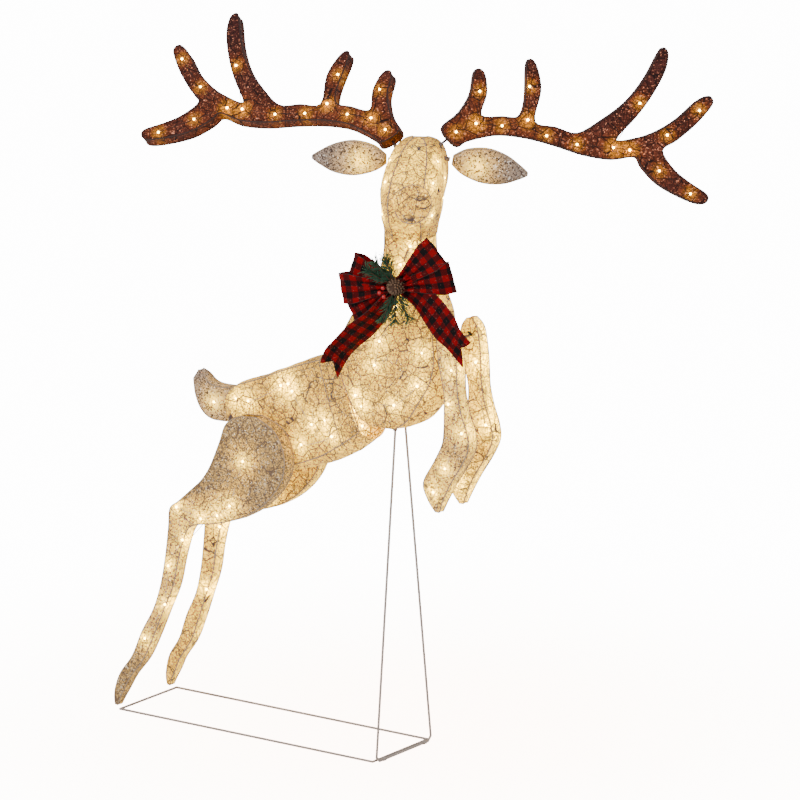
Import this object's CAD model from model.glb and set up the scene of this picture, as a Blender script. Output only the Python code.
import math
import random

import bpy
import numpy as np
from mathutils import Matrix, Vector, noise
from mathutils.geometry import delaunay_2d_cdt


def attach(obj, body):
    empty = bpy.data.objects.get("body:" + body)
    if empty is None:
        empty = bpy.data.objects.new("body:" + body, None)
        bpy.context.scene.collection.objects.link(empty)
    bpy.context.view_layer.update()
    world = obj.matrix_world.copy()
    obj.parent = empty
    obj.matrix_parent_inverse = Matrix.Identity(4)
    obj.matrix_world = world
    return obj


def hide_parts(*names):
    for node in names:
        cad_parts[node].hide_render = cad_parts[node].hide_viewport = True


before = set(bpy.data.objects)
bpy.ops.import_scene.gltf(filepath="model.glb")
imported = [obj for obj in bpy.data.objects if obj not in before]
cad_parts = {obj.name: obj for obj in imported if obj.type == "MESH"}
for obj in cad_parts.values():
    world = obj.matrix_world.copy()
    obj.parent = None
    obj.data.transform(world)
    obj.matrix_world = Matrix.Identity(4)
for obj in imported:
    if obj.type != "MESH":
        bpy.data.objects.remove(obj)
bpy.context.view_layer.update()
rng = random.Random(7)

# ---- Sizes, in millimetres from the middle of the stand's front bar ------------------------

ORIGIN = np.array([-81.0, 134.0, 0.0])
NECK_TOP = np.array([24.0, 0.0, 1085.0])
HEAD_YAW = -62
HEAD_LEAN = 5
SWEEP = {1: 12, -1: 17}
TILT = {1: 9, -1: 31}
ANTLER_ROOT = {1: (-4, 50, 184), -1: (-4, 50, 168)}
EAR_ROOT = {1: (2, 67, 150), -1: (2, 59, 136)}
ANTLER_HALF = 14
PRONG_ANGLE = 44
HIP = np.array([-330.0, 62.0, 592.0])
SHOULDER = np.array([148.0, 42.0, 882.0])
BOW_MIDDLE = np.array([45.0, -78.0, 979.0])
BOW_LIFT = np.array([4.0, 1.0, 12.0])
BOW_TURN = 15
RIBBON_W = 63
WIDEST = 52.0

# A rung: front x, front z, rear x, rear z, middle y, half thickness
TORSO = [
    (-408, 634, -414, 690, 0, 29), (-378, 594, -388, 714, 0, 35),
    (-335, 566, -340, 733, 0, 36), (-285, 560, -290, 754, 0, 37),
    (-225, 578, -240, 775, 0, 41), (-160, 606, -198, 791, 0, 46),
    (-108, 638, -164, 803, 0, 50), (-66, 668, -124, 818, 0, 49),
]
CHEST = [
    (12, 684, -50, 684, 0, 40), (48, 706, -72, 706, 0, 48), (80, 748, -92, 742, 0, 52),
    (106, 792, -112, 788, 0, 51), (114, 838, -126, 830, 0, 47), (107, 884, -106, 876, 0, 41),
    (102, 926, -80, 920, 0, 39), (88, 964, -50, 962, 0, 36), (72, 1005, -26, 1003, 0, 33),
    (66, 1045, -17, 1045, 0, 32), (64, 1082, -16, 1082, 0, 32),
]
HEAD = [
    (50, -8, -48, -8, 0, 49), (68, 12, -54, 12, 0, 50), (108, 32, -58, 32, 0, 53),
    (142, 60, -58, 60, 0, 54), (152, 90, -58, 90, 0, 58), (138, 120, -56, 118, 0, 57),
    (104, 146, -52, 142, 0, 52), (72, 168, -42, 164, 0, 43), (42, 182, -26, 178, 0, 30),
    (20, 188, -8, 186, 0, 15),
]
TAIL = [
    (-418, 632, -415, 702, 0, 14), (-462, 632, -448, 701, 0, 15),
    (-489, 648, -469, 706, 0, 14), (-505, 676, -485, 720, 0, 12),
    (-513, 708, -499, 728, 0, 8),
]
HIND = [
    (-306, 668, -344, 665, 62, 11), (-256, 645, -378, 646, 62, 15),
    (-233, 600, -396, 602, 62, 16), (-238, 552, -418, 553, 62, 16),
    (-272, 502, -440, 520, 62, 16), (-328, 460, -470, 492, 62, 16),
    (-400, 434, -502, 464, 62, 16), (-460, 421, -523, 446, 62, 16),
    (-482, 402, -527, 406, 63, 15), (-500, 345, -534, 342, 65, 15),
    (-513, 284, -544, 283, 68, 15), (-534, 232, -560, 230, 72, 15),
    (-557, 175, -588, 177, 76, 15), (-582, 121, -611, 123, 80, 14),
    (-614, 78, -640, 82, 84, 13), (-630, 48, -652, 50, 87, 12),
    (-642, 26, -656, 28, 88, 10), (-649, 10, -656, 11, 89, 7),
]
FRONT = [
    (151, 917, 138, 915, 42, 9), (166, 898, 128, 895, 42, 13), (174, 856, 131, 852, 42, 14),
    (177, 815, 140, 812, 42, 15), (179, 780, 147, 780, 42, 15), (188, 742, 147, 740, 42, 15),
    (202, 703, 146, 700, 42, 15), (204, 672, 141, 672, 42, 15), (187, 636, 121, 634, 42, 15),
    (160, 594, 96, 590, 42, 14), (141, 558, 105, 556, 42, 11), (130, 532, 120, 532, 42, 7),
]
EAR = [
    (4, 9, 4, -9, 0, 5), (30, 26, 28, -24, 0, 8), (70, 34, 68, -33, 0, 9),
    (108, 27, 108, -28, 0, 8), (138, 12, 138, -14, 0, 6), (154, 2, 154, -4, 0, 4),
]
ANTLER = [
    (-8, 24), (22, 57), (42, 96), (46, 138), (56, 148), (68, 136), (74, 100), (67, 57),
    (109, 58), (142, 61), (152, 95), (149, 163), (157, 176), (170, 160), (181, 116),
    (174, 54), (217, 46), (262, 38), (310, 70), (354, 110), (386, 158), (408, 208),
    (418, 222), (428, 210), (424, 175), (402, 125), (374, 80), (338, 32),
    (378, 38), (418, 55), (458, 84), (492, 120), (515, 134), (525, 126), (521, 112),
    (495, 77), (460, 42), (433, 19), (458, -16), (492, -40), (528, -60), (530, -74),
    (515, -80), (478, -70), (430, -48), (396, -18), (380, 2), (335, -7), (278, -3),
    (222, 10), (165, 20), (110, 22), (70, 13), (40, 2), (22, -8),
]

# Bulbs, as x and z on the right side panel of each section
TORSO_BULBS = [(-382, 690), (-350, 690), (-265, 735), (-245, 742), (-235, 728), (-184, 667),
               (-213, 620), (-132, 650), (-149, 681)]
CHEST_BULBS = [(-57, 724), (-71, 745), (24, 738), (80, 785), (86, 852), (-25, 813), (-17, 862),
               (20, 940), (27, 1022), (50, 1062)]
TAIL_BULBS = [(-455, 668)]
HIND_BULBS = [(-335, 574), (-369, 475), (-401, 450), (-443, 437), (-505, 452), (-490, 385),
              (-525, 325), (-531, 243), (-579, 164)]
FRONT_BULBS = [(160, 880), (165, 830), (158, 760), (190, 705), (150, 627), (120, 574)]
ANTLER_RUNS = [
    [(20, 20), (58, 40), (110, 40), (160, 56), (200, 28), (262, 16), (335, 16), (368, 14),
     (430, -22), (496, -62)],
    [(58, 40), (60, 104)],
    [(160, 56), (158, 122)],
    [(335, 16), (380, 108)],
    [(368, 14), (440, 50), (500, 104)],
]
HEAD_BULBS = [(110, 118), (60, 150), (20, 110), (-30, 60), (90, 50)]

# ---- Curves ------------------------------------------------------------------------------


def smooth(points, n, closed=False):
    p = np.array(points, float)
    count = len(p)
    out = []
    for i in range(count if closed else count - 1):
        ids = [i - 1, i, i + 1, i + 2]
        if closed:
            ids = [k % count for k in ids]
        else:
            ids = [min(max(k, 0), count - 1) for k in ids]
        a, b, c, d = (p[k] for k in ids)
        for k in range(n):
            t = k / n
            cubic = (3 * b - a - 3 * c + d) * t**3
            out.append(0.5 * (2 * b + (c - a) * t + (2 * a - 5 * b + 4 * c - d) * t * t + cubic))
    if not closed:
        out.append(p[-1])
    return np.array(out)


def rotation(axis, degrees):
    return np.array(Matrix.Rotation(math.radians(degrees), 3, axis))


def rung_point(r, along, side, bow, puff, shape):
    keel, swell, taper, full = shape
    front = np.array([r[0], r[4], r[1]])
    rear = np.array([r[2], r[4], r[3]])
    half = (front - rear) / 2
    length = np.linalg.norm(half)
    narrow = 1 - taper * max(0, along) ** 2
    reach = length * along + keel * bow * (r[5] / full) ** 2
    return (front + rear) / 2 + half / length * reach + np.array(
        [0, r[5] * side * narrow + swell * puff, 0])


LIMB_SHAPE = (3, 2, 0, 15)
BODY_SHAPE = (26, 5, 0, WIDEST)
HEAD_SHAPE = (4, 3, 0.42, WIDEST)
PAD_SHAPE = (1, 4, 0, 9)


def outline(rear_bow, across=12, deep=12):
    """Entries of a section: along, side, share of the bow, share of the puff."""
    rows = []
    for k in range(across):
        w = -1 + 2 * k / across
        rows.append((1, w, 1 - w * w, 0))
    for k in range(deep):
        s = 1 - 2 * k / deep
        rows.append((s, 1, 0, 1 - s**4))
    for k in range(across):
        w = 1 - 2 * k / across
        rows.append((-1, w, rear_bow * (1 - w * w), 0))
    for k in range(deep):
        s = -1 + 2 * k / deep
        rows.append((s, -1, 0, s**4 - 1))
    return rows


# ---- Mesh helpers --------------------------------------------------------------------------


def grid(rings, count, closed_rings=False):
    faces = []
    for i in range(rings if closed_rings else rings - 1):
        j = (i + 1) % rings
        for k in range(count):
            m = (k + 1) % count
            faces.append((i * count + k, i * count + m, j * count + m, j * count + k))
    return faces


def piece(name, points, faces, paint, body, replaces=(), flat=False, at=None):
    """A mesh in the row frame, made from millimetre points."""
    points = np.asarray(points, float)
    if at is not None:
        points = at(points)
    mesh = bpy.data.meshes.new(name)
    mesh.from_pydata(((points - ORIGIN) / 1000).tolist(), [], [tuple(f) for f in faces])
    mesh.materials.append(paint)
    mesh.polygons.foreach_set("use_smooth", [not flat] * len(mesh.polygons))
    mesh.update()
    ob = bpy.data.objects.new(name, mesh)
    bpy.context.scene.collection.objects.link(ob)
    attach(ob, body)
    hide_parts(*replaces)
    return ob


def tubes(paths, sides=8):
    """Points and faces of round tubes; each path is (points, radius, closed)."""
    verts, faces = [], []
    for path, radius, closed in paths:
        p = np.array(path, float)
        n = len(p)
        ahead = np.roll(p, -1, 0) - np.roll(p, 1, 0)
        if not closed:
            ahead[0] = p[1] - p[0]
            ahead[-1] = p[-1] - p[-2]
        ahead /= np.linalg.norm(ahead, axis=1)[:, None] + 1e-12
        up = np.array([0.0, 0.0, 1.0]) if abs(ahead[0][2]) < 0.9 else np.array([1.0, 0, 0])
        start = len(verts)
        for i in range(n):
            up = up - ahead[i] * (up @ ahead[i])
            up /= np.linalg.norm(up) + 1e-12
            out = np.cross(ahead[i], up)
            for k in range(sides):
                a = 2 * math.pi * k / sides
                verts.append(p[i] + radius * (math.cos(a) * up + math.sin(a) * out))
        faces += [tuple(start + v for v in f) for f in grid(n, sides, closed)]
        if not closed:
            faces.append(tuple(start + k for k in reversed(range(sides))))
            faces.append(tuple(start + (n - 1) * sides + k for k in range(sides)))
    return np.array(verts), faces


def ball(centre, radius, rings=8, sides=12, squash=(1, 1, 1)):
    verts, faces = [], []
    for i in range(rings + 1):
        a = math.pi * i / rings
        for k in range(sides):
            b = 2 * math.pi * k / sides
            d = (math.sin(a) * math.cos(b), math.sin(a) * math.sin(b), math.cos(a))
            verts.append(np.array(centre) + radius * np.array(d) * np.array(squash))
    return np.array(verts), grid(rings + 1, sides)


def joined(parts):
    verts, faces, start = [], [], 0
    for v, f in parts:
        verts.append(v)
        faces += [tuple(start + k for k in q) for q in f]
        start += len(v)
    return np.concatenate(verts), faces


# ---- Materials -----------------------------------------------------------------------------


class Paint:
    def __init__(self, name, **values):
        self.material = bpy.data.materials.new(name)
        self.material.use_nodes = True
        self.tree = self.material.node_tree
        self.shader = self.tree.nodes["Principled BSDF"]
        self.set(**values)

    def put(self, socket, value):
        if isinstance(value, bpy.types.NodeSocket):
            self.tree.links.new(value, socket)
        else:
            socket.default_value = value

    def set(self, **values):
        for key, value in values.items():
            self.put(self.shader.inputs[key.replace("_", " ")], value)

    def node(self, kind, inputs=None, **props):
        made = self.tree.nodes.new("ShaderNode" + kind)
        for key, value in props.items():
            setattr(made, key, value)
        for key, value in (inputs or {}).items():
            self.put(made.inputs[key], value)
        return made.outputs

    def math(self, kind, a, b=0.5, clamp=False):
        return self.node("Math", {0: a, 1: b}, operation=kind, use_clamp=clamp)[0]

    def mix(self, share, a, b):
        return self.node("Mix", {0: share, 6: a, 7: b}, data_type="RGBA")[2]

    def ramp(self, value, low, high, start=0.0, end=1.0):
        spread = {"Value": value, "From Min": low, "From Max": high, "To Min": start, "To Max": end}
        return self.node("MapRange", spread, interpolation_type="SMOOTHSTEP")["Result"]

    def bump(self, height, strength, distance):
        made = {"Height": height, "Strength": strength, "Distance": distance}
        self.set(Normal=self.node("Bump", made)["Normal"])


def web_mesh(name, cell, thread, fleck, cell_alpha, glow_colour, power, dots=0.8, cells=1.0,
             contrast=0.82, sheen=0.05, core=(1.0, 0.58, 0.03, 1)):
    """Glittering threads laid in a random web over a thin veil."""
    p = Paint(name, Sheen_Weight=sheen, Sheen_Roughness=0.4, Specular_IOR_Level=0.2)
    where = p.node("TexCoord")["Object"]
    warp = p.node("TexNoise", {"Vector": where, "Scale": 30.0, "Detail": 1.5})["Color"]
    bent = p.node("VectorMath", {0: warp, 1: (0.010, 0.010, 0.010)}, operation="MULTIPLY")[0]
    there = p.node("VectorMath", {0: where, 1: bent}, operation="ADD")[0]
    lines = []
    for scale, wide in ((36.0, 0.058), (74.0, 0.085), (150.0, 0.14)):
        edge = p.node("TexVoronoi", {"Vector": there, "Scale": scale * cells},
                      feature="DISTANCE_TO_EDGE")["Distance"]
        lines.append(p.ramp(edge, 0.01, wide, 1.0, 0.0))
    patch = p.node("TexNoise", {"Vector": where, "Scale": 17.0, "Detail": 3.0})["Fac"]
    coarse = p.math("MAXIMUM", lines[0], p.math("MULTIPLY", lines[1], 0.8))
    fine = p.math("MULTIPLY", lines[2], p.ramp(patch, 0.38, 0.6, 0.35, 0.9))
    web = p.math("MAXIMUM", coarse, fine)
    grain = p.node("TexVoronoi", {"Vector": where, "Scale": 440.0})["Color"]
    bright = p.node("SeparateColor", {"Color": grain})[0]
    spark = p.ramp(bright, 0.88, 0.97)
    speck = p.math("MULTIPLY", p.ramp(bright, 0.31, 0.25), dots)
    veil = p.mix(p.ramp(patch, 0.35, 0.65), cell, tuple(0.82 * c for c in cell[:3]) + (1,))
    dark = p.math("MAXIMUM", p.math("MULTIPLY", web, contrast), speck)
    p.set(Base_Color=p.mix(spark, p.mix(dark, veil, thread), fleck))
    p.set(Roughness=p.ramp(spark, 0, 1, 0.62, 0.18))
    p.set(Metallic=p.math("MULTIPLY", spark, 0.6))
    solid = p.math("MAXIMUM", p.math("MULTIPLY", dark, 1.3), spark)
    p.set(Alpha=p.ramp(solid, 0.0, 1.0, cell_alpha, 1.0))
    p.bump(p.math("ADD", web, spark), 0.5, 0.0015)
    glow = p.node("Attribute", attribute_name="glow")["Fac"]
    shade = p.math("SUBTRACT", 1.0, p.math("MULTIPLY", dark, 1.0))
    shade = p.math("MULTIPLY", shade, p.ramp(patch, 0.3, 0.7, 0.7, 1.3))
    hot = p.ramp(glow, 0.8, 3.0)
    p.set(Emission_Color=p.mix(hot, glow_colour, core))
    p.set(Emission_Strength=p.math("MULTIPLY", p.math("MULTIPLY", glow, shade), power))
    return p.material


def plain(name, colour, rough, coat=0.0, metal=0.0, grain=0.0, scale=400.0):
    p = Paint(name, Roughness=rough, Coat_Weight=coat, Metallic=metal)
    where = p.node("TexCoord")["Object"]
    fine = p.node("TexNoise", {"Vector": where, "Scale": scale, "Detail": 3.0})["Fac"]
    dark = tuple(0.72 * c for c in colour[:3]) + (1,)
    p.set(Base_Color=p.mix(p.ramp(fine, 0.35, 0.65), dark, colour))
    p.set(Roughness=p.ramp(fine, 0.3, 0.7, rough, min(1.0, rough + 0.12)))
    if grain:
        p.bump(fine, grain, 0.0006)
    return p.material


def lamp(name, colour, power):
    p = Paint(name, Base_Color=colour, Roughness=0.25, Emission_Color=colour)
    p.set(Emission_Strength=power)
    return p.material


CHECK_PERIOD = 0.026


def plaid(name):
    """Red and black checks with a twill weave; UV is in metres across and along."""
    p = Paint(name, Sheen_Weight=0.0, Specular_IOR_Level=0.1)
    uv = p.node("SeparateXYZ", {0: p.node("UVMap")[0]})
    bands = []
    for i in (0, 1):
        cell = p.math("FRACT", p.math("DIVIDE", uv[i], CHECK_PERIOD))
        bands.append(p.math("GREATER_THAN", cell, 0.5))
    twill = p.math("FRACT", p.math("MULTIPLY", p.math("ADD", uv[0], uv[1]), 900.0))
    twill = p.ramp(p.math("ABSOLUTE", p.math("SUBTRACT", twill, 0.5)), 0.1, 0.4)
    both = p.math("MULTIPLY", bands[0], bands[1])
    either = p.math("MAXIMUM", bands[0], bands[1])
    half = p.mix(twill, (0.13, 0.001, 0.002, 1), (0.012, 0.002, 0.003, 1))
    red = p.mix(p.math("MULTIPLY", twill, 0.35), (0.27, 0.001, 0.004, 1), (0.15, 0.001, 0.003, 1))
    colour = p.mix(both, p.mix(either, red, half), (0.006, 0.004, 0.005, 1))
    where = p.node("TexCoord")["Object"]
    grain = p.node("TexVoronoi", {"Vector": where, "Scale": 700.0})["Color"]
    spark = p.ramp(p.node("SeparateColor", {"Color": grain})[0], 0.96, 0.995)
    p.set(Base_Color=p.mix(p.math("MULTIPLY", spark, 0.25), colour, (0.6, 0.3, 0.25, 1)))
    p.set(Roughness=p.ramp(spark, 0, 1, 0.66, 0.25))
    p.bump(p.math("ADD", twill, spark), 0.35, 0.0004)
    return p.material


DARK_THREAD = (0.13, 0.085, 0.075, 1)
AMBER = (1.0, 0.50, 0.02, 1)
body_mesh = web_mesh("web_champagne", (0.74, 0.40, 0.06, 1), DARK_THREAD, (1, 0.80, 0.45, 1),
                     0.985, AMBER, 1.75, 0.9, 1.0, 1.0)
limb_mesh = web_mesh("web_limb", (0.60, 0.40, 0.18, 1), DARK_THREAD, (1, 0.88, 0.68, 1), 0.985,
                     AMBER, 1.5, 0.95, 1.2, 0.9)
pale_mesh = web_mesh("web_pale", (0.44, 0.35, 0.31, 1), (0.06, 0.035, 0.03, 1),
                     (1, 0.93, 0.86, 1), 0.985, AMBER, 0.9, 0.95, 1.6, 0.5)
antler_mesh = web_mesh("web_antler", (0.12, 0.026, 0.02, 1), (0.012, 0.001, 0.001, 1),
                       (0.6, 0.22, 0.13, 1), 0.985, (1.0, 0.2, 0.0, 1), 0.2, 0.7, 1.1, 1.0,
                       0.0, (1.0, 0.34, 0.0, 1))
edge_paint = plain("wire_edge", (0.50, 0.36, 0.24, 1), 0.5, grain=0.3)
antler_wire = plain("wire_antler", (0.05, 0.016, 0.012, 1), 0.5, metal=0.2, grain=0.3)
taupe_paint = plain("wire_taupe", (0.50, 0.42, 0.37, 1), 0.42, coat=0.2, grain=0.2)
inner_paint = plain("wire_inner", (0.22, 0.16, 0.13, 1), 0.55, grain=0.2)
black_paint = plain("plastic_black", (0.03, 0.027, 0.027, 1), 0.45, grain=0.2)
eye_paint = plain("plastic_eye", (0.012, 0.01, 0.01, 1), 0.12, coat=0.8)
bulb_paint = lamp("led_bulb", (1.0, 0.66, 0.16, 1), 40.0)
cable_paint = plain("cable_clear", (0.74, 0.66, 0.52, 1), 0.25, coat=0.5)
plaid_paint = plaid("ribbon_plaid")
hem_paint = plain("ribbon_edge", (0.035, 0.012, 0.013, 1), 0.6, grain=0.3, scale=900.0)
cone_paint = plain("cone_scale", (0.09, 0.04, 0.02, 1), 0.7, grain=0.6, scale=260.0)
cone_tip = plain("cone_tip", (0.22, 0.13, 0.08, 1), 0.75, grain=0.5, scale=300.0)
needle_paint = plain("needle_green", (0.022, 0.10, 0.05, 1), 0.5, grain=0.2)
stem_paint = plain("stem_brown", (0.12, 0.07, 0.04, 1), 0.8, grain=0.5)
berry_paint = plain("berry_red", (0.62, 0.02, 0.025, 1), 0.2, coat=0.6)

# ---- Sections ------------------------------------------------------------------------------


def side_reach(rungs, x, z, shape, side):
    """The y of a side panel's mesh at x and z, just outside it."""
    fine = smooth(rungs, 4)
    middle = (fine[:, [0, 1]] + fine[:, [2, 3]]) / 2
    r = fine[np.argmin(np.hypot(middle[:, 0] - x, middle[:, 1] - z))]
    return r[4] + side * (r[5] + shape[1] - 0.5)


def set_glow(ob, bulbs, base, extra=None, halo=1.9):
    """Stores how brightly the bulbs light each point of a mesh."""
    co = np.array([v.co for v in ob.data.vertices]) * 1000 + ORIGIN
    total = np.full(len(co), float(base))
    for b in bulbs:
        d = np.linalg.norm(co - np.array(b), axis=1)
        total += 6 * np.exp(-((d / 13) ** 2)) + halo * np.exp(-((d / 34) ** 2))
    total *= 1 if extra is None else extra
    layer = ob.data.attributes.new("glow", "FLOAT", "POINT")
    layer.data.foreach_set("value", total.astype(np.float32))


def wrinkled(points, middle, size, scale):
    """Moves points in and out a little, as mesh pulled over wires does."""
    out = []
    for p, m in zip(points, middle):
        away = (p - m) / (np.linalg.norm(p - m) + 1e-9)
        out.append(p + away * size * noise.noise(Vector(p * scale)))
    return np.array(out)


def skin(rungs, shape, rear_bow, n, cap_first, cap_last):
    rows = outline(rear_bow)
    fine = smooth(rungs, n)
    points, middles = [], []
    for r in fine:
        ring = [rung_point(r, *row, shape) for row in rows]
        middle = np.mean(ring, axis=0)
        points += ring
        middles += [middle] * len(ring)
    points = wrinkled(np.array(points), middles, 1.6, 0.045)
    count = len(rows)
    faces = grid(len(fine), count)
    if cap_first:
        faces.append(tuple(reversed(range(count))))
    if cap_last:
        faces.append(tuple((len(fine) - 1) * count + k for k in range(count)))
    return points, faces


def edges(rungs, shape, n, hoops, bars, rear_bow, radius=1.3, ridge=False):
    """The wires of a section: both side loops, cross wires and hoops."""
    fine = smooth(rungs, n)
    paths = []
    for w in (-1, 1):
        loop = [rung_point(r, 1, w, 0, 0, shape) for r in fine]
        loop += [rung_point(r, -1, w, 0, 0, shape) for r in fine[::-1]]
        paths.append((loop, radius, True))
    for i in bars:
        for s in (-1, 1):
            ends = [rung_point(rungs[i], s, w, 0, 0, shape) for w in (-1, 1)]
            paths.append((ends, radius * 0.8, False))
    for i in hoops:
        ring = [rung_point(rungs[i], *row, shape) for row in outline(rear_bow)]
        paths.append((ring, radius * 0.8, True))
    if ridge:
        paths.append(([rung_point(r, 1, 0, 0.96, 0, shape) for r in fine], radius, False))
    return paths


def lights(name, runs, body, replaces, at=None, cable=None):
    """Bulbs, and the cable from one to the next along each run."""
    parts, paths = [], []
    for run in runs:
        parts += [ball(p, 2.6, 6, 10) for p in run]
        for a, b in zip(run[:-1], run[1:]):
            a, b = np.array(a, float), np.array(b, float)
            sag = np.array([0, 0, -0.05 * np.linalg.norm(b - a)]) if at is None else 0
            line = [a, a * 0.7 + b * 0.3 + sag, a * 0.3 + b * 0.7 + sag, b]
            paths.append((line, 0.7, False))
    v, f = joined(parts)
    bulbs = piece(name + "_bulbs", v, f, bulb_paint, body, replaces, at=at)
    if paths:
        v, f = tubes(paths, 6)
        piece(name + "_cable", v, f, cable or cable_paint, body, at=at)
    return bulbs


def section(name, rungs, shape, rear_bow, body, bulbs, base, caps=(False, False), n=5,
            hoops=(), bars=(), ridge=False, extra=(), paint=None, at=None, nodes=None):
    nodes = nodes or (name + "_frame", name + "_skin")
    points, faces = skin(rungs, shape, rear_bow, n, *caps)
    cover = piece(name + "_cover", points, faces, paint or body_mesh, body,
                  nodes[1:], at=at)
    lit = [at(np.array([b]))[0] if at else b for b in bulbs]
    keel = [1 + (1.2 * row[2] if row[0] == 1 else 0) for row in outline(rear_bow)]
    set_glow(cover, lit, base, np.tile(keel, len(points) // len(keel)))
    paths = edges(rungs, shape, n, hoops, bars, rear_bow, ridge=ridge) + list(extra)
    v, f = tubes(paths)
    piece(name + "_wires", v, f, edge_paint, body, nodes[:1], at=at)
    return cover


def flipped(points):
    return points * np.array([1, -1, 1])


def on_side(rungs, spots, shape, side):
    return [(x, side_reach(rungs, x, z, shape, side), z) for x, z in spots]


for name, rungs, shape, rear_bow, spots, base, caps, bars, hoops, light in (
    ("torso", TORSO, BODY_SHAPE, -0.4, TORSO_BULBS, 0.85, (True, False), (5,), (6,),
     "torso_light_string"),
    ("chest", CHEST, BODY_SHAPE, -0.4, CHEST_BULBS, 0.95, (True, False), (8,), (),
     "chest_light_string"),
    ("tail", TAIL, LIMB_SHAPE, -1, TAIL_BULBS, 0.3, (True, True), (), (), "tail_light"),
):
    runs = [on_side(rungs, spots, shape, s) for s in (-1, 1)]
    body = "tail" if name == "tail" else "body"
    section(name, rungs, shape, rear_bow, body, runs[0] + runs[1], base, caps, 6, hoops, bars,
            name == "torso", paint=pale_mesh if name == "tail" else body_mesh)
    lights(name, runs, body, [light])

for side, hand in ((1, "left"), (-1, "right")):
    at = None if side > 0 else flipped
    for kind, rungs, spots, pivot, bars, hoops, base in (
        ("hind_leg", HIND, HIND_BULBS, HIP, (9, 12, 15), (7,), 0.3),
        ("front_leg", FRONT, FRONT_BULBS, SHOULDER, (6,), (), 0.35),
    ):
        name = kind + "_" + hand
        spokes = []
        for i in (1, 3):
            for end in ((rungs[i][0], rungs[i][1]), (rungs[i][2], rungs[i][3])):
                tip = np.array([end[0], pivot[1], end[1]])
                start = pivot + 8 * (tip - pivot) / np.linalg.norm(tip - pivot)
                spokes.append(([start, tip], 1.3, False))
        runs = [on_side(rungs, spots, LIMB_SHAPE, 1), on_side(rungs, spots[1::2], LIMB_SHAPE, -1)]
        section(name, rungs, LIMB_SHAPE, -1, name, runs[0] + runs[1], base * (4 if side > 0 else 1),
                (False, False), 5, hoops, bars, extra=spokes, at=at,
                paint=body_mesh if side > 0 else limb_mesh)
        lights(name, runs, name, [name + "_light_string"], at)

# ---- Head ----------------------------------------------------------------------------------


def leaned(p):
    t = math.tan(math.radians(HEAD_LEAN))
    out = np.array(p, float)
    out[:, 0] -= out[:, 2] * t
    out[:, 1] += out[:, 2] * t
    return out


def at_head(p):
    return leaned(p) @ rotation("Z", HEAD_YAW).T + NECK_TOP


TILTED = rotation("Z", HEAD_YAW) @ rotation("Y", -HEAD_LEAN) @ rotation("X", -HEAD_LEAN)


def at_antler(side):
    turn = rotation("Z", 90 + SWEEP[side]) @ rotation("X", 90 - TILT[side])
    mirror = np.diag([1.0, side, 1.0])
    return lambda p: (p @ turn.T + ANTLER_ROOT[side]) @ (TILTED @ mirror).T + NECK_TOP


def at_ear(side):
    turn = rotation("Z", 98) @ rotation("Y", 5)
    mirror = np.diag([1.0, side, 1.0])
    return lambda p: (p @ turn.T + EAR_ROOT[side]) @ (TILTED @ mirror).T + NECK_TOP


head_bulbs = []
for i, (x, z) in enumerate(HEAD_BULBS):
    r = min(smooth(HEAD, 4), key=lambda q: abs((q[1] + q[3]) / 2 - z))
    for s in (-1, 1):
        share = (x - (r[0] + r[2]) / 2) / ((r[0] - r[2]) / 2)
        narrow = 1 - 0.42 * max(0, share) ** 2
        head_bulbs.append((x, s * (r[5] * narrow + 2), z))
section("head", HEAD, HEAD_SHAPE, -0.4, "head", head_bulbs, 0.9, (False, True), 6,
        bars=(3,), at=at_head)
lights("head", [head_bulbs[::2], head_bulbs[1::2]], "head", ["head_light_string"], at_head)

# The muzzle is a padded oval with a wire round it
MUZZLE_X, MUZZLE_Y, MUZZLE_Z = 151, 16, 84
MUZZLE_WIDE, MUZZLE_TALL = 36, 38
rows, rim = [], []
for i in range(9):
    t = i / 8
    for k in range(36):
        a = 2 * math.pi * k / 36
        reach = max(t, 0.02)
        dome = 9 * (1 - t * t) - 2.5 * math.exp(-((math.sin(a) * t * 3 + 0.6) ** 2) * 6)
        rows.append((MUZZLE_X + dome, MUZZLE_Y + MUZZLE_WIDE * reach * math.cos(a),
                     MUZZLE_Z + MUZZLE_TALL * reach * math.sin(a)))
for k in range(36):
    a = 2 * math.pi * k / 36
    rim.append((MUZZLE_X, MUZZLE_Y + (MUZZLE_WIDE + 0.5) * math.cos(a),
                MUZZLE_Z + (MUZZLE_TALL + 0.5) * math.sin(a)))
muzzle = piece("muzzle_pad", rows, grid(9, 36), body_mesh, "head",
               ["muzzle_disc"], at=at_head)
set_glow(muzzle, [], 1.3)
v, f = tubes([(rim, 0.9, True)])
piece("muzzle_rim", v, f, edge_paint, "head", at=at_head)
for s, hand in ((1, "left"), (-1, "right")):
    v, f = ball((84, s * 55, 98), 6.5, 10, 20, (1, 0.6, 1))
    eye = piece("eye_" + hand, v, f, eye_paint, "head", at=at_head)
    if s > 0:
        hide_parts("eyes")

# ---- Ears and antlers ----------------------------------------------------------------------

for side, hand in ((1, "left"), (-1, "right")):
    at = at_ear(side)
    name = "ear_" + hand
    ear_bulb = [(54, 8, -6), (54, -8, -6)]
    section(name, EAR, PAD_SHAPE, -1, name, ear_bulb, 0.12, (True, True), 7, paint=pale_mesh,
            at=at)
    lights(name, [ear_bulb[:1], ear_bulb[1:]], name, [name + "_light"], at)


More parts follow.
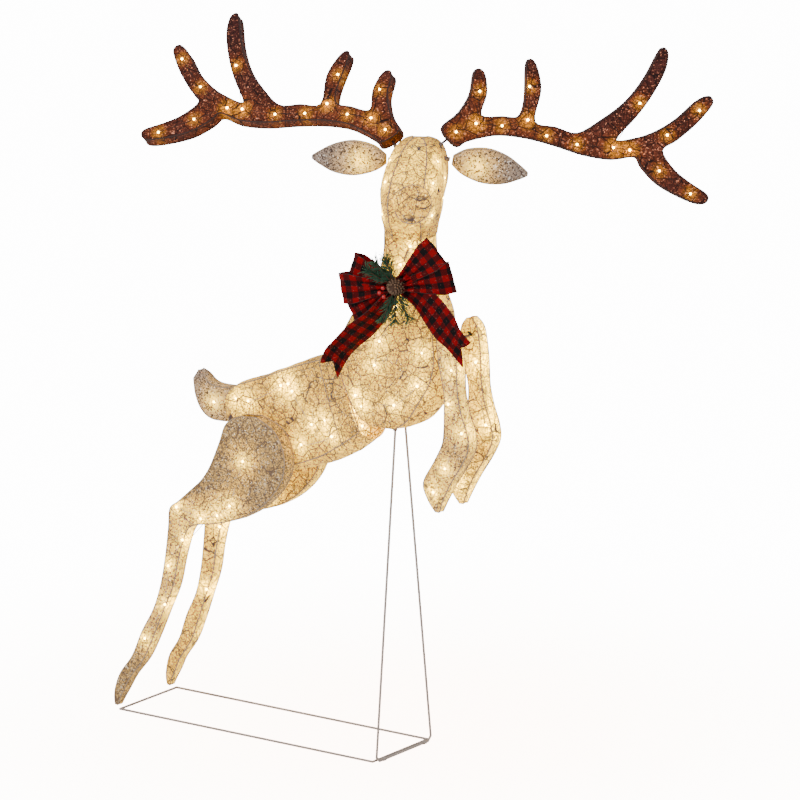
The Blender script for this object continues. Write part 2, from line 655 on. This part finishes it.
def antler_cover(outline_points):
    """Both faces and the edge of an antler, the faces puffed between its wires."""
    flat = smooth(outline_points, 4, True)
    count = len(flat)
    lo, hi = flat.min(0), flat.max(0)
    inner = []
    for x in np.arange(lo[0], hi[0], 7.0):
        for y in np.arange(lo[1], hi[1], 7.0):
            here = np.array([x, y]) + np.array([rng.uniform(-1.5, 1.5), rng.uniform(-1.5, 1.5)])
            if inside(here, flat) and nearest(here, flat) > 3.5:
                inner.append(here)
    points = [Vector(p) for p in np.concatenate([flat, inner])]
    ring = [(i, (i + 1) % count) for i in range(count)]
    made = delaunay_2d_cdt(points, ring, [], 1, 0.01)
    flat_points = np.array([tuple(p) for p in made[0]])
    puff = np.array([2.6 * (1 - math.exp(-nearest(p, flat) / 9)) for p in flat_points])
    total = len(flat_points)
    verts = np.concatenate([
        np.column_stack([flat_points, -ANTLER_HALF - puff]),
        np.column_stack([flat_points, ANTLER_HALF + puff]),
    ])
    faces = [tuple(reversed(t)) for t in made[2]] + [tuple(total + k for k in t) for t in made[2]]
    place = {}
    for new, olds in enumerate(made[3]):
        for old in olds:
            place[old] = new
    for a, b in ring:
        a, b = place[a], place[b]
        faces.append((a, b, total + b, total + a))
    return verts, faces


def inside(p, loop):
    q = np.roll(loop, -1, 0)
    crossing = (loop[:, 1] > p[1]) != (q[:, 1] > p[1])
    safe = np.where(q[:, 1] == loop[:, 1], 1e-9, q[:, 1] - loop[:, 1])
    at_x = (q[:, 0] - loop[:, 0]) * (p[1] - loop[:, 1]) / safe + loop[:, 0]
    return bool((crossing & (p[0] < at_x)).sum() % 2)


def nearest(p, loop):
    return float(np.hypot(loop[:, 0] - p[0], loop[:, 1] - p[1]).min())


antler_points, antler_faces = antler_cover(ANTLER)
prong = np.array([math.cos(math.radians(PRONG_ANGLE)), math.sin(math.radians(PRONG_ANGLE)), 0])
for side, hand in ((1, "left"), (-1, "right")):
    name = "antler_" + hand
    at = at_antler(side)
    runs = []
    for z in (-ANTLER_HALF - 2, ANTLER_HALF + 2):
        runs += [[(x, y, z) for x, y in run] for run in ANTLER_RUNS]
    bulbs = [p for run in runs for p in run]
    cover = piece(name + "_cover", antler_points, antler_faces, antler_mesh, name,
                  [name + "_skin"], at=at)
    set_glow(cover, at(np.array(bulbs)), 0.0, halo=0.5)
    lights(name, runs, name, [name + "_light_string"], at, antler_wire)
    flat = smooth(ANTLER, 4, True)
    paths = []
    for z in (-ANTLER_HALF, ANTLER_HALF):
        paths.append(([(x, y, z) for x, y in flat], 1.5, True))
        paths.append(([prong * 38, (20, 57, z)], 1.3, False))
    for i in (0, 4, 11, 17, 22, 27, 34, 37, 41, 47, 54):
        x, y = ANTLER[i]
        paths.append(([(x, y, -ANTLER_HALF), (x, y, ANTLER_HALF)], 1.3, False))
    paths.append(([-prong * 40, prong * 40], 2.5, False))
    v, f = tubes(paths)
    piece(name + "_wires", v, f, antler_wire, name, [name + "_frame"], at=at)

# ---- Bow -----------------------------------------------------------------------------------


def at_bow(p):
    return np.asarray(p, float) @ rotation("Z", BOW_TURN).T + BOW_MIDDLE + BOW_LIFT


def between(rows, step):
    """A row of an array at a fractional step."""
    low = min(int(step), len(rows) - 2)
    return rows[low] + (rows[low + 1] - rows[low]) * (step - low)


def ribbon(name, line, width, fold, replaces=(), across=24, notch=0.0, wave=2.2):
    """A strip of ribbon: line gives its middle and its width's direction at each step."""
    middles = line[0]
    steps = len(middles)
    points, where = [], []
    lengths = np.concatenate([[0], np.cumsum(np.linalg.norm(np.diff(middles, axis=0), axis=1))])
    for i in range(steps):
        for k in range(across + 1):
            q = -1 + 2 * k / across
            step = i * (1 - notch * (1 - abs(q)) * (i / (steps - 1)) ** 4)
            middle, side, share = (between(rows, step) for rows in line)
            ahead = between(middles, min(step + 0.5, steps - 1)) - between(middles, max(step - 0.5, 0))
            out = np.cross(ahead / np.linalg.norm(ahead), side)
            pleat = fold * (1 - share) * math.cos(math.pi * 2.5 * q)
            ripple = wave * noise.noise(Vector((step * 0.13, q * 1.6, len(name)))) * min(1, i / 4)
            points.append(middle + side * q * share * width / 2 + out * (pleat + ripple))
            where.append((width / 2000 * (q + 1), between(lengths, step) / 1000))
    count = across + 1
    faces = []
    for i in range(steps - 1):
        for k in range(across):
            a = i * count + k
            faces.append((a, a + 1, a + 1 + count, a + count))
    ob = piece(name, points, faces, plaid_paint, "body", replaces, at=at_bow)
    uv = ob.data.uv_layers.new(name="UVMap")
    for loop in ob.data.loops:
        uv.data[loop.index].uv = where[loop.vertex_index]
    hems = []
    for k in (0, across):
        hems.append(([points[i * count + k] for i in range(steps)], 0.55, False))
    v, f = tubes(hems, 6)
    hem = piece(name + "_hem", v, f, hem_paint, "body", at=at_bow)
    return ob


def loop_line(angle, reach, depth, twist, forward, steps=40):
    """Out from the knot and back: a ribbon loop seen from its open side."""
    a = math.radians(angle)
    out = np.array([math.cos(a), 0.0, math.sin(a)])
    wide = np.array([-math.sin(a), 0.0, math.cos(a)])
    middles, sideways, narrow = [], [], []
    for i in range(steps + 1):
        t = i / steps
        s = math.sin(math.pi * t) ** 0.75
        y = -depth * math.cos(math.pi * t) * (0.25 + 0.75 * s) - forward * s - 6
        middles.append(out * reach * s + np.array([0, y, 0]))
        turn = math.radians(twist) * s
        sideways.append(wide * math.cos(turn) + np.array([0, 1.0, 0]) * math.sin(turn))
        narrow.append(0.3 + 0.7 * min(1.0, (s * 1.25) ** 1.2))
    return np.array(middles), np.array(sideways), np.array(narrow)


def tail_line(edge_a, edge_b, steps=8):
    """A hanging end between its two edges, which are lists of points from the knot."""
    a, b = smooth(edge_a, steps), smooth(edge_b, steps)
    middles = (a + b) / 2
    spread = b - a
    size = np.linalg.norm(spread, axis=1)
    return middles, spread / size[:, None], np.clip(size / RIBBON_W, 0.25, 1.05)


wrap = []
for i in range(25):
    a = 2 * math.pi * i / 24
    wrap.append((15 * math.cos(a), -1 + 13 * math.sin(a), 0))
wrap = np.array(wrap)
ribbon("bow_knot_wrap", (wrap, np.tile([0.0, 0.0, 1.0], (25, 1)), np.ones(25)), 27, 2,
       ["bow_knot"], wave=0.3)
# Wires that tie the knot to the neck
ties = []
for x, z in ((-5, 5), (5, 5), (-4, -5), (4, -5)):
    ties.append(([(x, 4, z), (x * 0.6, 20, z * 0.8), (x * 1.6, 34, z * 1.6), (x * 2, 46, z * 2)],
                 1.2, False))
v, f = tubes(ties, 8)
piece("bow_tie_wire", v, f, stem_paint, "body", at=at_bow)
LOOPS = (("upper_right", 43, 118, 20, 8, 6), ("right", 13, 122, 22, -8, 2),
         ("upper_left", 163, 102, 20, -6, 4), ("left", 186, 116, 22, 10, 8),
         ("lower_left", 212, 116, 18, -6, -2))
for word, angle, reach, depth, twist, forward in LOOPS:
    ribbon("bow_loop_" + word, loop_line(angle, reach, depth, twist, forward), RIBBON_W, 7,
           ["bow_loops"] if word == "right" else ())
left_outer = [(-10, -8, 2), (-48, -28, -44), (-86, -42, -78), (-112, -50, -104),
              (-130, -54, -124), (-145, -54, -158)]
left_inner = [(4, -6, -14), (-22, 2, -66), (-52, -4, -104), (-82, -12, -134),
              (-104, -18, -160), (-120, -22, -194)]
right_outer = [(12, -8, 6), (62, -16, 4), (102, -26, -18), (130, -34, -48), (146, -38, -74),
               (168, -40, -94)]
right_inner = [(2, -8, -12), (36, -14, -36), (66, -22, -68), (94, -30, -98), (122, -34, -119),
               (152, -38, -147)]
ribbon("bow_end_left", tail_line(left_outer, left_inner), RIBBON_W, 4, ["bow_tail_left"],
       notch=0.12, wave=5)
ribbon("bow_end_right", tail_line(right_outer, right_inner), RIBBON_W, 4, ["bow_tail_right"],
       notch=0.12, wave=5)

# Pinecone: scales in a spiral from its back to its tip
parts, tips = [ball((0, -16, 0), 11, 8, 16, (1, 1.3, 1))], []
for i in range(64):
    t = i / 64
    a = i * 2.39996
    y = -8 - 24 * t
    r = 20 * math.sqrt(1 - 0.86 * t)
    out = np.array([math.cos(a), 0, math.sin(a)])
    across = np.array([-math.sin(a), 0, math.cos(a)])
    rise = np.array([0, -1.0, 0])
    wide = 5.5 * (1 - 0.45 * t)
    root = out * r * 0.25 + rise * (-y - 3)
    lip = out * r + rise * (-y)
    shape = [root - across * wide * 0.5, root + across * wide * 0.5,
             lip * 1.0 - across * wide - out * 3, lip - across * wide * 0.4,
             lip + across * wide * 0.4, lip + across * wide - out * 3]
    top = [p + rise * 1.8 for p in shape]
    faces = [(0, 1, 5, 4, 3, 2), (8, 9, 10, 11, 7, 6), (2, 3, 9, 8), (3, 4, 10, 9),
             (4, 5, 11, 10), (0, 2, 8, 6), (1, 7, 11, 5), (0, 6, 7, 1)]
    parts.append((np.array(shape + top), faces))
    tips.append(ball(lip - out * 0.6 + rise * 1.2, 1.5, 4, 8, (1.4, 1, 1.4)))
v, f = joined(parts)
piece("pinecone_scales", v, f, cone_paint, "body", ["bow_pinecone"], True, at_bow)
v, f = joined(tips)
piece("pinecone_tips", v, f, cone_tip, "body", at=at_bow)

# Greenery: stems with needles all round
stems, needles = [], []
for end in ((-42, 46), (16, -66)):
    for fan in (-30, -8, 16):
        a = math.radians(fan)
        tip = np.array([end[0] * math.cos(a) - end[1] * math.sin(a), -34,
                        end[0] * math.sin(a) + end[1] * math.cos(a)])
        start = np.array([0, -12, 0])
        stems.append(([start, (start + tip) / 2 + np.array([0, -5, 0]), tip], 0.9, False))
        ahead = (tip - start) / np.linalg.norm(tip - start)
        one = np.cross(ahead, (0, 1, 0))
        one /= np.linalg.norm(one)
        two = np.cross(ahead, one)
        for k in range(90):
            t = 0.25 + 0.75 * k / 90
            spin = rng.uniform(0, 2 * math.pi)
            away = ahead * 0.7 + (one * math.cos(spin) + two * math.sin(spin)) * 0.7
            base = start * (1 - t) + tip * t
            far_end = base + away * rng.uniform(14, 22)
            bend = (base + far_end) / 2 + ahead * 1.5
            needles.append(([base, bend, far_end], 0.6, False))
v, f = tubes(needles, 4)
piece("greenery_needles", v, f, needle_paint, "body", ["bow_greenery"], at=at_bow)
v, f = tubes(stems, 6)
piece("greenery_stems", v, f, stem_paint, "body", at=at_bow)
berries = [(-23, -18, -22), (-32, -19, -14), (-25, -18, -4)]
v, f = joined([ball(b, 4.5, 12, 20) for b in berries])
piece("berry_balls", v, f, berry_paint, "body", ["bow_berries"], at=at_bow)
v, f = joined([ball(np.array(b) + (0.6, -4.2, -0.8), 0.9, 5, 8) for b in berries])
piece("berry_ends", v, f, black_paint, "body", at=at_bow)
v, f = tubes([([(-9, -12, -9), b], 0.5, False) for b in berries], 5)
piece("berry_stems", v, f, stem_paint, "body", at=at_bow)

# ---- The CAD parts that show ---------------------------------------------------------------

for node in ("stand_upright", "stand_base"):
    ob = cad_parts[node]
    ob.data.materials.clear()
    ob.data.materials.append(taupe_paint)
for node in ("stand_sockets", "neck_tail_sockets", "hip_axle", "shoulder_axle", "head_sockets"):
    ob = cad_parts[node]
    ob.data.materials.clear()
    ob.data.materials.append(inner_paint)
for node in ("power_inlet", "hind_leg_left_hub", "hind_leg_right_hub", "front_leg_left_hub",
             "front_leg_right_hub"):
    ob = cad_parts[node]
    ob.data.materials.clear()
    ob.data.materials.append(black_paint)

# ---- Floor, light and camera ---------------------------------------------------------------

floor_paint = Paint("floor_white", Base_Color=(0.9, 0.885, 0.875, 1), Roughness=0.7)
floor_spot = floor_paint.node("TexCoord")["Object"]
floor_reach = floor_paint.node("VectorMath", {0: floor_spot}, operation="LENGTH")["Value"]
floor_tint = floor_paint.mix(floor_paint.ramp(floor_reach, 0.1, 1.6), (1.0, 0.76, 0.66, 1),
                             (1, 1, 1, 1))
# The floor and the world show brighter than they light, so the ground stays white
FLOOR_SHOWN = 14.0
WORLD_LIGHT, WORLD_SHOWN = 0.6, 40.0
seen = floor_paint.node("LightPath")["Is Camera Ray"]
floor_power = floor_paint.math("MULTIPLY", seen, FLOOR_SHOWN)
floor_paint.set(Emission_Color=floor_tint, Emission_Strength=floor_power)
floor_mesh = bpy.data.meshes.new("floor")
floor_mesh.from_pydata([(-9, -9, 0), (9, -9, 0), (9, 9, 0), (-9, 9, 0)], [], [(0, 1, 2, 3)])
floor_mesh.materials.append(floor_paint.material)
floor = bpy.data.objects.new("floor", floor_mesh)
floor.location = (0, 0, -0.0005)
bpy.context.scene.collection.objects.link(floor)

world = bpy.data.worlds.new("studio")
bpy.context.scene.world = world
world.use_nodes = True
tree = world.node_tree
back_light = tree.nodes["Background"]
back_light.inputs["Color"].default_value = (1, 1, 1, 1)
path = tree.nodes.new("ShaderNodeLightPath")
power = tree.nodes.new("ShaderNodeMapRange")
power.inputs["To Min"].default_value = WORLD_LIGHT
power.inputs["To Max"].default_value = WORLD_SHOWN
tree.links.new(path.outputs["Is Camera Ray"], power.inputs["Value"])
tree.links.new(power.outputs["Result"], back_light.inputs["Strength"])


def area_light(name, place, target, size, power, colour):
    data = bpy.data.lights.new(name, "AREA")
    data.size = size
    data.energy = power
    data.color = colour
    ob = bpy.data.objects.new(name, data)
    ob.location = place
    aim = Vector(target) - Vector(place)
    ob.rotation_euler = aim.to_track_quat("-Z", "Y").to_euler()
    bpy.context.scene.collection.objects.link(ob)


area_light("key", (-1.2, -3.0, 2.8), (0, 0, 0.7), 1.6, 60, (1, 0.98, 0.95))
area_light("fill", (3.0, -1.6, 2.0), (0, 0, 0.8), 2.0, 30, (1, 0.97, 0.94))

AZIMUTH, ELEVATION, DISTANCE = math.radians(35.43), math.radians(13.97), 13.333
aim = Vector((0.080, -0.134, 0.734))
back = Vector((math.sin(AZIMUTH) * math.cos(ELEVATION), -math.cos(AZIMUTH) * math.cos(ELEVATION),
               math.sin(ELEVATION)))
camera = bpy.data.objects.new("camera", bpy.data.cameras.new("camera"))
camera.data.lens = 300
camera.data.sensor_width = 36
camera.location = aim + back * DISTANCE
camera.rotation_euler = (-back).to_track_quat("-Z", "Y").to_euler()
camera.data.clip_end = 100
bpy.context.scene.collection.objects.link(camera)
bpy.context.scene.camera = camera
